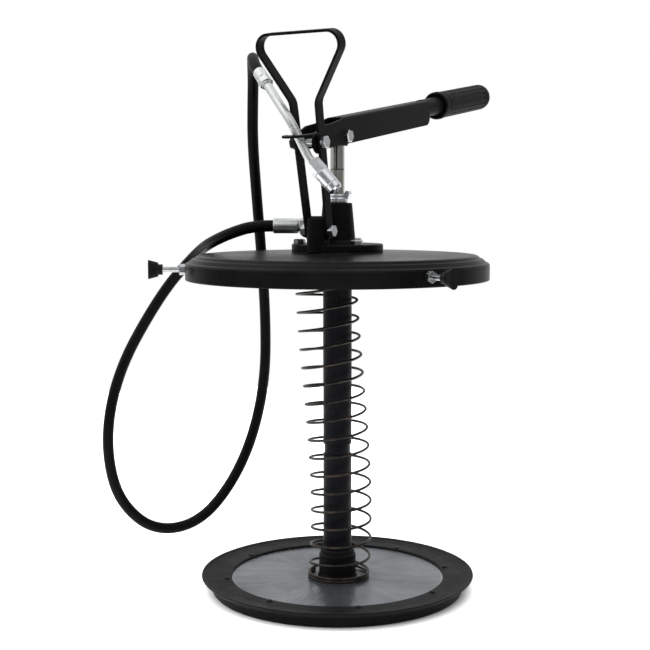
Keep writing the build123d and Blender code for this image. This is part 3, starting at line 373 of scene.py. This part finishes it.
def rubber(name, tone=0.006, chalk=0.012, grain=0.0001, low=0.42, high=0.60, weave=False, gleam=0.05):
    """Black rubber with chalky bloom and a fine grain, or a hose cover's cloth print."""
    g = Graph(name)
    bloom = g.noise(42.0, 7.0, 0.68)
    fine = g.noise(650.0, 3.0, 0.6)
    base = g.mix(g.band(bloom, 0.44, 0.78), (tone, tone, tone * 1.06), (chalk, chalk, chalk * 1.04))
    rough = g.math("ADD", g.band(bloom, 0.3, 0.72, low, high), g.math("MULTIPLY", fine, 0.08))
    height = g.math("ADD", fine, g.math("MULTIPLY", g.noise(90.0, 5.0), 0.8))
    if weave:
        cloth = g.cells(720.0, jitter=0.35)
        height = g.math("ADD", g.math("MULTIPLY", cloth, 0.9), g.math("MULTIPLY", fine, 0.5))
    g.set(Base_Color=base, Metallic=0.0, Roughness=rough, Normal=g.bump(height, grain))
    g.set(Specular_IOR_Level=gleam)
    return g.material


# a patch of short dark dashes on the disc: its middle, and the way the dashes run
DASH_AT = (0.0108, -0.0688)
DASH_TURN = math.radians(-60.0)
DASH_STEP = 0.0035


def galvanised(name):
    """Zinc-coated disc: soft radial folds, short creases with painted highlights, smears, a few dark dashes,
    a painted highlight at the outer edge.
    """
    g = Graph(name)
    angle, radius = g.radial()
    fan = g.join(g.math("MULTIPLY", angle, 1.9), g.math("MULTIPLY", radius, 9.0), 0.0)
    folds = g.noise(1.0, 3.0, 0.5, 0.6, fan)
    line_fan = g.join(g.math("MULTIPLY", angle, 2.4), g.math("MULTIPLY", radius, 8.0), 4.0)
    lines = g.noise(1.0, 1.0, 0.4, 0.2, line_fan)
    ridge = g.band(g.math("ABSOLUTE", g.math("SUBTRACT", lines, 0.5)), 0.0, 0.03, 1.0, 0.0)
    ridge = g.math("MULTIPLY", ridge, g.band(radius, 0.055, 0.085))
    patches = g.noise(13.0, 5.0, 0.6, 0.3)
    spangle = g.cells(120.0)
    base = g.mix(g.band(folds, 0.34, 0.66), (0.085, 0.095, 0.106), (0.135, 0.148, 0.162))
    base = g.mix(g.band(patches, 0.52, 0.70, 0.0, 0.45), base, (0.080, 0.089, 0.099))
    # painted highlight: pale lines along the creases stand in for light caught by the folds; the creases
    # themselves are only a faint bump
    base = g.mix(g.math("MULTIPLY", ridge, g.band(patches, 0.40, 0.65, 0.0, 0.5)), base, (0.26, 0.28, 0.295))
    base = g.mix(g.math("MULTIPLY", spangle, 0.12), base, (0.20, 0.215, 0.23))
    along, across, _ = g.split(g.local(DASH_AT, DASH_TURN))
    drift = g.math("MULTIPLY", g.noise(60.0, 2.0), 0.008)
    row = g.math("PINGPONG", g.math("ADD", across, drift), DASH_STEP)
    dash = g.math("MULTIPLY", g.band(row, 0.0003, 0.0010, 1.0, 0.0), g.band(g.noise(120.0, 2.0), 0.46, 0.58))
    near = g.math(
        "MULTIPLY",
        g.band(g.math("ABSOLUTE", along), 0.011, 0.016, 1.0, 0.0),
        g.band(g.math("ABSOLUTE", across), 0.005, 0.009, 1.0, 0.0),
    )
    base = g.mix(g.math("MULTIPLY", g.math("MULTIPLY", dash, near), 0.75), base, (0.030, 0.030, 0.032))
    # painted highlight: a pale band along the disc's outer edge
    rim_highlight = g.band(radius, 0.1190, 0.1222, 0.0, 0.6)
    base = g.mix(rim_highlight, base, (0.28, 0.295, 0.31))
    # darker towards the middle of the disc, inside the spring
    oil = g.band(radius, 0.040, 0.058, 0.5, 0.0)
    base = g.mix(oil, base, (0.040, 0.045, 0.052))
    rough = g.math("ADD", g.band(patches, 0.3, 0.7, 0.20, 0.32), g.math("MULTIPLY", spangle, 0.05))
    height = g.math("ADD", folds, g.math("MULTIPLY", ridge, 0.05))
    g.set(Base_Color=base, Metallic=0.8, Roughness=rough, Normal=g.bump(height, 0.0022, 0.6))
    g.set(Specular_IOR_Level=0.2)
    return g.material


def spring_steel(name):
    """Oil-blackened wire with a bronze tint and light rust."""
    g = Graph(name)
    cloud = g.noise(45.0, 7.0, 0.66)
    fine = g.noise(380.0, 5.0, 0.7)
    base = g.mix(g.band(cloud, 0.40, 0.68), (0.014, 0.0125, 0.0115), (0.052, 0.040, 0.030))
    base = g.mix(g.band(fine, 0.60, 0.74, 0.0, 0.4), base, (0.10, 0.076, 0.056))
    rough = g.math("ADD", g.band(cloud, 0.3, 0.7, 0.30, 0.48), g.math("MULTIPLY", fine, 0.10))
    g.set(Base_Color=base, Metallic=0.7, Roughness=rough, Normal=g.bump(fine, 0.0001))
    return g.material


def plastic(name):
    """Moulded black plastic with a fine spark texture."""
    g = Graph(name)
    cloud = g.noise(80.0, 5.0, 0.6)
    spark = g.cells(1500.0)
    base = g.mix(g.band(cloud, 0.35, 0.7), (0.0032, 0.0032, 0.0036), (0.006, 0.006, 0.0064))
    normal, edge = g.edges(0.0008)
    base = g.mix(g.math("MULTIPLY", edge, 0.25), base, (0.022, 0.022, 0.023))
    rough = g.band(cloud, 0.3, 0.7, 0.40, 0.54)
    g.set(Base_Color=base, Roughness=rough, Normal=g.bump(spark, 0.00006, 1.0, normal))
    g.set(Specular_IOR_Level=0.08)
    return g.material


def cover(item, material):
    """Gives every material slot of an object this material."""
    data = item.data
    if not data.materials:
        data.materials.append(material)
    for index in range(len(data.materials)):
        data.materials[index] = material


LID_PAINT = paint("lid_paint", gloss=0.22)
PARTS_PAINT = paint("parts_paint", gloss=0.30)
ZINC = metal("zinc_plate", tone=(0.38, 0.39, 0.40), low=0.18, high=0.30)
BRIGHT = metal("bright_fitting", tone=(0.66, 0.68, 0.705), low=0.20, high=0.30, grime=0.12)
SATIN = metal("satin_fitting", tone=(0.60, 0.62, 0.615), low=0.34, high=0.42, grime=0.15)
ROD = rod_steel("plated_rod")
TUBE = dark_steel("tube_steel")
FOOT = dark_steel("foot_steel", tone=(0.0048, 0.0045, 0.0042))
SPRING = spring_steel("spring_wire")
DISC = galvanised("galvanised_disc")
RING = rubber("ring_rubber", tone=0.0038, chalk=0.0075, low=0.38, high=0.52, gleam=0.06)
HOSE = rubber("hose_rubber", tone=0.0028, chalk=0.0050, low=0.30, high=0.44, weave=True, gleam=0.05)
GRIP = rubber("grip_rubber", tone=0.0040, chalk=0.0075, low=0.36, high=0.50)
SEAL = rubber("seal_rubber", tone=0.009, chalk=0.02)
KNOB = plastic("knob_plastic")

COVERING = {
    LID_PAINT: ["drum_lid"],
    PARTS_PAINT: [
        "lid_backing_plate", "pump_head", "carry_handle", "lever_channel", "lever_tube",
        "nozzle_holder",
    ],
    ZINC: [
        "flange_bolts", "base_bolt", "base_nut", "pivot_bolt", "rod_pin_bolt",
        "rod_pin_nut", "follower_nuts", "clamp_nuts", "clamp_screw_1", "clamp_screw_2",
        "clamp_screw_3",
    ],
    BRIGHT: ["coupler_body", "coupler_sleeve", "gland_nut"],
    SATIN: [
        "outlet_nut", "outlet_ferrule", "nozzle_ferrule", "nozzle_hex", "nozzle_tube",
        "coupler_jaws", "piston", "foot_ball",
    ],
    ROD: ["piston_rod"],
    TUBE: ["upper_tube", "lower_tube"],
    # the pivot nut takes the dark steel, darker than the zinc of its bolt
    FOOT: ["rod_eye", "foot_valve_body", "follower_hub", "follower_screws", "pivot_nut"],
    DISC: ["follower_disc"],
    RING: ["follower_ring"],
    GRIP: ["lever_grip"],
    SEAL: ["flange_gasket", "hub_seal", "piston_seal", "gland_packing"],
    KNOB: ["clamp_knob_1", "clamp_knob_2", "clamp_knob_3"],
}
for material, names in COVERING.items():
    for name in names:
        cover(NODES[name], material)
cover(hose, HOSE)

# ---------------------------------------------------------------------------
# follower spring: a right-hand helix with closed ends, bowed to one side
# ---------------------------------------------------------------------------
WIRE_R = 0.0015
COIL_R = 0.0342
SPRING_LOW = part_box("follower_disc")[1][2]
SPRING_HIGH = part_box("lid_backing_plate")[0][2]
SIDE = Vector((0.5, -math.sqrt(0.75), 0.0))
SIDE_ANGLE = math.atan2(SIDE.y, SIDE.x)
BOW = (0.0011, 0.0361, -0.1093, 0.0583)  # cubic of the sideways offset over the height
PITCH = 0.0210
SEAT_TURNS = 1.6
STEP_UP = (0.6, 1.0)  # turns over which an end coil slips under the next
EASE = 0.12
STEPS = 48  # points in a turn


def bow(share):
    """Sideways offset of the coil's centre at a share of its height, and its slope."""
    offset = sum(c * share ** k for k, c in enumerate(BOW))
    slope = sum(k * c * share ** (k - 1) for k, c in enumerate(BOW) if k) / (SPRING_HIGH - SPRING_LOW)
    return offset, slope


def seat_drop(turns):
    """Height lost towards a closed end, where the last turn slips under the one before."""
    ease = min(1.0, max(0.0, (turns - STEP_UP[0]) / (STEP_UP[1] - STEP_UP[0])))
    return 2 * WIRE_R * ease * ease * (3 - 2 * ease)


def climb(turns):
    """Height gained by the open coils, with an eased start."""
    if turns <= -EASE:
        return 0.0
    if turns < EASE:
        return PITCH * (turns + EASE) ** 2 / (4 * EASE)
    return PITCH * turns


def spring_path():
    """Centre line of the wire, from the disc to the lid."""
    low = SPRING_LOW + 3 * WIRE_R
    high = SPRING_HIGH - 3 * WIRE_R
    open_turns = (high - low) / PITCH
    points = []
    for i in range(int((open_turns + 2 * SEAT_TURNS) * STEPS) + 1):
        turn = i / STEPS - SEAT_TURNS
        if turn < open_turns / 2:
            z = low + climb(turn) - seat_drop(-turn)
        else:
            z = high - climb(open_turns - turn) + seat_drop(turn - open_turns)
        offset, slope = bow((z - SPRING_LOW) / (SPRING_HIGH - SPRING_LOW))
        slope *= min(1.0, max(0.0, turn)) * min(1.0, max(0.0, open_turns - turn))
        angle = 2 * math.pi * turn + SIDE_ANGLE
        spoke = COIL_R * Vector((math.cos(angle), math.sin(angle), 0.0))
        height = Vector((0.0, 0.0, z - slope * spoke.dot(SIDE)))
        points.append(SIDE * offset + spoke + height)
    return points


def tube_mesh(name, points, radius, sides=14):
    """Closed tube of one radius along a dense line of points."""
    mesh = bpy.data.meshes.new(name)
    build = bmesh.new()
    rings = []
    side = Vector((0, 0, 1))
    for i, point in enumerate(points):
        ahead = points[min(i + 1, len(points) - 1)] - points[max(i - 1, 0)]
        ahead.normalize()
        across = ahead.cross(side).normalized()
        over = across.cross(ahead).normalized()
        ring = []
        for k in range(sides):
            a = 2 * math.pi * k / sides
            ring.append(build.verts.new(point + radius * (across * math.cos(a) + over * math.sin(a))))
        rings.append(ring)
    for low, high in zip(rings, rings[1:]):
        for k in range(sides):
            nxt = (k + 1) % sides
            build.faces.new((low[k], low[nxt], high[nxt], high[k]))
    build.faces.new(list(reversed(rings[0])))
    build.faces.new(rings[-1])
    bmesh.ops.recalc_face_normals(build, faces=build.faces)
    build.to_mesh(mesh)
    build.free()
    for face in mesh.polygons:
        face.use_smooth = True
    made = bpy.data.objects.new(name, mesh)
    SCENE.collection.objects.link(made)
    return made


spring = tube_mesh("spring", spring_path(), WIRE_R)
cover(spring, SPRING)
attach(spring, "root")
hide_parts("follower_spring")
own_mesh(spring)

# ---------------------------------------------------------------------------
# studio: white paper and backdrop, dark room on the camera's side, soft lights
# ---------------------------------------------------------------------------
SCENE.view_settings.view_transform = "Standard"


# dim room level, and each panel's direction, soft edge (cosines) and added level
ROOM = 0.24
PANELS = (
    ((0.9, 0.5, 0.05), 0.0, 0.55, 0.62),
    ((-0.55, 0.75, 0.75), 0.70, 0.92, 1.1),
    ((-0.45, -0.75, 0.85), 0.80, 0.95, 0.8),
    ((0.0, 0.0, 1.0), 0.55, 0.95, 0.7),
)


def studio_world():
    """White to look at; its light comes from a backdrop, two side panels and one overhead."""
    world = bpy.data.worlds.new("studio")
    world.use_nodes = True
    g = Graph.of_tree(world.node_tree)
    light = g.nodes.new("ShaderNodeBackground")
    level = ROOM
    for toward, low, high, power in PANELS:
        dot = g.nodes.new("ShaderNodeVectorMath")
        dot.operation = "DOT_PRODUCT"
        g.links.new(g.nodes.new("ShaderNodeTexCoord").outputs["Generated"], dot.inputs[0])
        dot.inputs[1].default_value = Vector(toward).normalized()
        level = g.math("ADD", level, g.band(dot.outputs["Value"], low, high, 0.0, power))
    seen = g.nodes.new("ShaderNodeLightPath").outputs["Is Camera Ray"]
    g.put(light.inputs["Strength"], g.math("MAXIMUM", level, seen))
    light.inputs["Color"].default_value = (1.0, 1.0, 1.0, 1.0)
    out = g.nodes.new("ShaderNodeOutputWorld")
    g.links.new(light.outputs[0], out.inputs[0])
    return world


SCENE.world = studio_world()


def floor_material():
    g = Graph("floor_paper")
    shade = g.noise(3.0, 3.0)
    g.set(Base_Color=g.mix(shade, (0.90, 0.90, 0.90), (0.93, 0.93, 0.93)), Roughness=0.9)
    return g.material


FLOOR_R = 1.6
floor_mesh = bpy.data.meshes.new("floor")
build = bmesh.new()
bmesh.ops.create_circle(build, cap_ends=True, segments=96, radius=FLOOR_R)
build.to_mesh(floor_mesh)
build.free()
floor = bpy.data.objects.new("floor", floor_mesh)
SCENE.collection.objects.link(floor)
cover(floor, floor_material())


def sun(name, toward, strength, spread):
    """Distant soft lamp shining from a direction; it lights, but isn't mirrored in metal."""
    data = bpy.data.lights.new(name, "SUN")
    data.energy = strength
    data.angle = math.radians(spread)
    lamp = bpy.data.objects.new(name, data)
    SCENE.collection.objects.link(lamp)
    lamp.visible_glossy = False
    lamp.rotation_mode = "QUATERNION"
    lamp.rotation_quaternion = Vector(toward).to_track_quat("Z", "Y")


sun("overhead", (-0.10, 0.05, 1.0), 4.3, 90.0)
sun("left", (-0.8, 0.9, 1.1), 0.5, 60.0)
